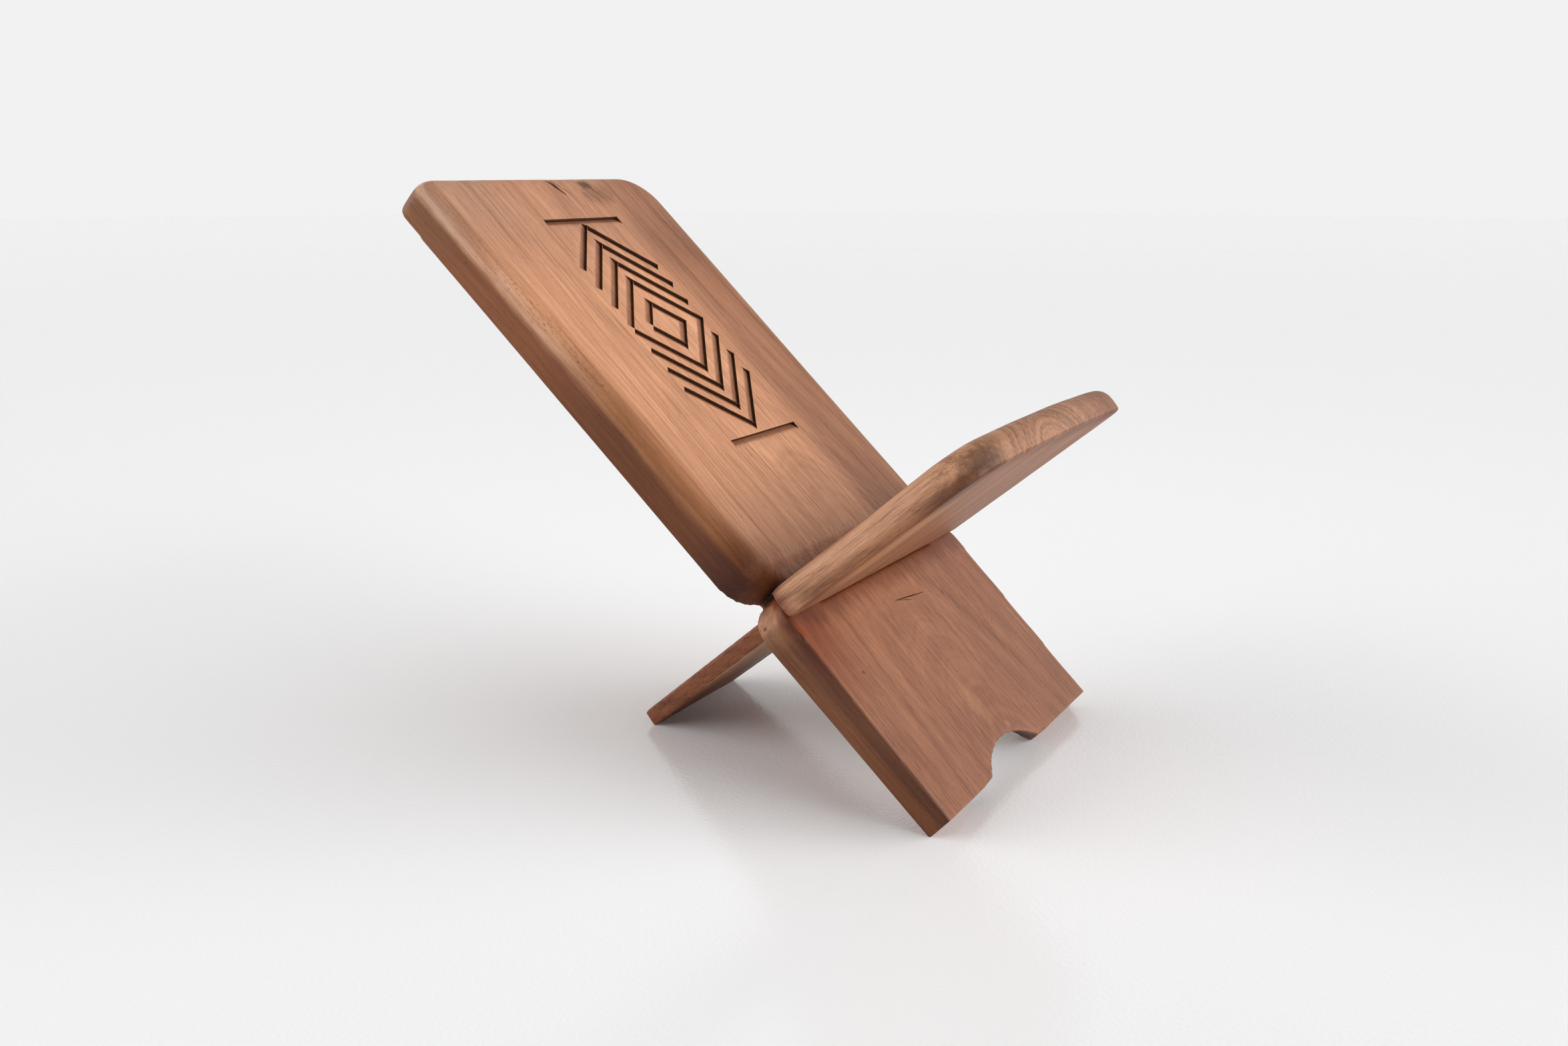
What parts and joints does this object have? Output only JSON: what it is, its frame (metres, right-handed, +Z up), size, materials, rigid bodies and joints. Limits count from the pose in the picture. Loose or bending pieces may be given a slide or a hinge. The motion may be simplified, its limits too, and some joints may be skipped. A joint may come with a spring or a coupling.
{
  "type": "birthing chair",
  "caption": "Low African chair of two interlocking hardwood planks: a reclined back with a carved panel and arched foot, and a tilted seat whose tail passes through a slot.",
  "frame": {"origin": "centre of the chair's outer box, on the floor it stands on", "axes": "+Z up, -Y the way the sitter faces, +X to the sitter's left"},
  "size_m": [0.3673, 0.5862, 0.5182],
  "materials": {
    "back_wood": "oiled and worn, satin",
    "seat_wood": "oiled and worn, satin"
  },
  "bodies": {
    "back": {"back_plank": "back_wood"},
    "seat": {"seat_plank": "seat_wood"}
  },
  "joints": [
    {"name": "seat_slide", "type": "slide", "parent": "back", "child": "seat", "axis": [0, -0.7705, 0.6374], "range_m": [0, 0.25]}
  ]
}
